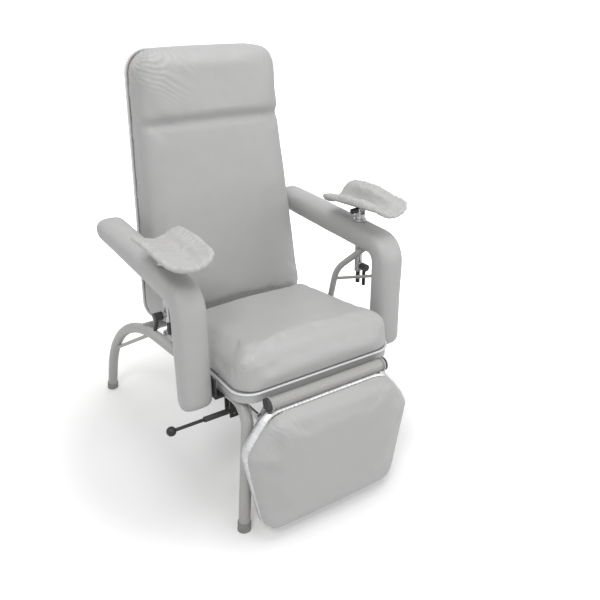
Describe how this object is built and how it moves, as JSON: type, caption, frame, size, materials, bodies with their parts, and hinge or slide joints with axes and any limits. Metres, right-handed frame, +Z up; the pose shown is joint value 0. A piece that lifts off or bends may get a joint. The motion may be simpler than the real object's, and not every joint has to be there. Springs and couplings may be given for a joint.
{
  "type": "phlebotomy chair",
  "caption": "Blood collection chair with bent tube hoops, padded arms, swivelling arm troughs, reclining back and a lifting leg rest.",
  "frame": {"origin": "on the floor under the middle of the overall box", "axes": "+Z up, the chair's front faces -Y, +X to the right of a viewer who faces the chair"},
  "size_m": [0.7729, 1.0126, 1.1773],
  "materials": {
    "grey_vinyl": "soft grained vinyl, satin",
    "white_piping": "smooth bead",
    "bright_trim": "bright edge trim",
    "trough_cover": "soft wrinkled cover",
    "grey_rubber": "matt",
    "plywood": "plain plywood",
    "black_plastic": "moulded",
    "black_steel": "black coated",
    "bright_steel": "zinc plated",
    "white_paint": "light grey powder coat"
  },
  "bodies": {
    "chair_frame": {"side_hoop_left": "white_paint", "side_hoop_right": "white_paint", "foot_caps": "grey_rubber", "hoop_brace_left": "white_paint", "hoop_brace_right": "white_paint", "cross_bar_front": "white_paint", "cross_bar_rear": "white_paint", "seat_bolts": "bright_steel", "seat_base": "grey_vinyl", "seat_piping": "white_piping", "seat_cushion": "grey_vinyl", "arm_core_left": "plywood", "arm_core_right": "plywood", "arm_pad_left": "grey_vinyl", "arm_pad_right": "grey_vinyl", "arm_support_left": "white_paint", "arm_support_right": "white_paint", "arm_stay_left": "white_paint", "arm_stay_right": "white_paint", "arm_bracket_left": "black_steel", "arm_bracket_right": "black_steel", "arm_bolts": "bright_steel", "post_sleeve_left": "bright_steel", "post_sleeve_right": "bright_steel", "pivot_bosses": "white_paint", "back_pivot_shaft": "bright_steel", "front_roll": "white_paint", "roll_caps": "black_plastic", "roll_supports": "white_paint", "lever_bracket": "black_steel", "lever_pin": "bright_steel"},
    "back": {"back_board": "plywood", "back_piping": "white_piping", "back_cushion": "grey_vinyl", "back_frame": "white_paint", "back_bolts": "bright_steel", "link_pins_rear": "bright_steel"},
    "leg_rest": {"leg_board": "plywood", "leg_trim": "bright_trim", "leg_cushion": "grey_vinyl", "leg_frame": "white_paint", "leg_bolts": "bright_steel", "link_pins_front": "bright_steel"},
    "push_rod_left": {"push_rod_left": "bright_steel"},
    "push_rod_right": {"push_rod_right": "bright_steel"},
    "recline_lever": {"lever_arm": "black_steel", "lever_sleeve": "black_plastic", "lever_ball": "black_plastic"},
    "clamp_handle_left": {"clamp_handle_left": "black_plastic"},
    "trough_post_left": {"trough_post_left": "black_steel"},
    "trough_yoke_left": {"trough_yoke_left": "bright_steel"},
    "arm_trough_left": {"trough_shell_left": "white_paint", "trough_cover_left": "trough_cover"},
    "tilt_knob_left": {"tilt_knob_left": "black_plastic"},
    "clamp_handle_right": {"clamp_handle_right": "black_plastic"},
    "trough_post_right": {"trough_post_right": "black_steel"},
    "trough_yoke_right": {"trough_yoke_right": "bright_steel"},
    "arm_trough_right": {"trough_shell_right": "white_paint", "trough_cover_right": "trough_cover"},
    "tilt_knob_right": {"tilt_knob_right": "black_plastic"}
  },
  "joints": [
    {"name": "back_recline", "type": "hinge", "parent": "chair_frame", "child": "back", "pos_m": [0, 0.14, 0.385], "axis": [-1, 0, 0], "range_deg": [0, 60]},
    {"name": "leg_lift", "type": "hinge", "parent": "chair_frame", "child": "leg_rest", "pos_m": [0, -0.446, 0.4025], "axis": [-1, 0, 0], "range_deg": [0, 60]},
    {"name": "rod_swing_left", "type": "hinge", "parent": "leg_rest", "child": "push_rod_left", "pos_m": [-0.1808, -0.406, 0.3425], "axis": [-1, 0, 0], "range_deg": [-60, 0]},
    {"name": "rod_swing_right", "type": "hinge", "parent": "leg_rest", "child": "push_rod_right", "pos_m": [0.1808, -0.406, 0.3425], "axis": [-1, 0, 0], "range_deg": [-60, 0]},
    {"name": "lever_pull", "type": "hinge", "parent": "chair_frame", "child": "recline_lever", "pos_m": [-0.214, -0.319, 0.33], "axis": [0, 1, 0], "range_deg": [0, 8], "stiffness_Nm_per_rad": 6, "springref_deg": -8.59},
    {"name": "post_lift_left", "type": "slide", "parent": "chair_frame", "child": "trough_post_left", "axis": [0, 0, 1], "range_m": [0, 0.08]},
    {"name": "yoke_swivel_left", "type": "hinge", "parent": "trough_post_left", "child": "trough_yoke_left", "pos_m": [-0.3043, -0.172, 0.71898], "axis": [0, 0, 1], "range_deg": [-45, 45]},
    {"name": "trough_tilt_left", "type": "hinge", "parent": "trough_yoke_left", "child": "arm_trough_left", "pos_m": [-0.3043, -0.172, 0.74148], "axis": [0.9997, 0.0227, 0], "range_deg": [-10, 10]},
    {"name": "tilt_knob_turn_left", "type": "hinge", "parent": "trough_yoke_left", "child": "tilt_knob_left", "pos_m": [-0.3043, -0.172, 0.74148], "axis": [0.9997, 0.0227, 0], "range_deg": [-180, 180]},
    {"name": "post_lift_right", "type": "slide", "parent": "chair_frame", "child": "trough_post_right", "axis": [0, 0, 1], "range_m": [0, 0.08]},
    {"name": "yoke_swivel_right", "type": "hinge", "parent": "trough_post_right", "child": "trough_yoke_right", "pos_m": [0.3043, -0.172, 0.71898], "axis": [0, 0, 1], "range_deg": [-45, 45]},
    {"name": "trough_tilt_right", "type": "hinge", "parent": "trough_yoke_right", "child": "arm_trough_right", "pos_m": [0.3043, -0.172, 0.74148], "axis": [0.9877, 0.1564, 0], "range_deg": [-10, 10]},
    {"name": "tilt_knob_turn_right", "type": "hinge", "parent": "trough_yoke_right", "child": "tilt_knob_right", "pos_m": [0.3043, -0.172, 0.74148], "axis": [0.9877, 0.1564, 0], "range_deg": [-180, 180]},
    {"name": "clamp_turn_left", "type": "hinge", "parent": "chair_frame", "child": "clamp_handle_left", "pos_m": [-0.3043, -0.172, 0.571], "axis": [-1, 0, 0], "range_deg": [-60, 60]},
    {"name": "clamp_turn_right", "type": "hinge", "parent": "chair_frame", "child": "clamp_handle_right", "pos_m": [0.3043, -0.172, 0.571], "axis": [0, -1, 0], "range_deg": [-20, 90]}
  ],
  "couplings": [
    {"joint": "leg_lift", "follows": "back_recline", "ratio": 1},
    {"joint": "rod_swing_left", "follows": "back_recline", "ratio": -1},
    {"joint": "rod_swing_right", "follows": "back_recline", "ratio": -1}
  ]
}
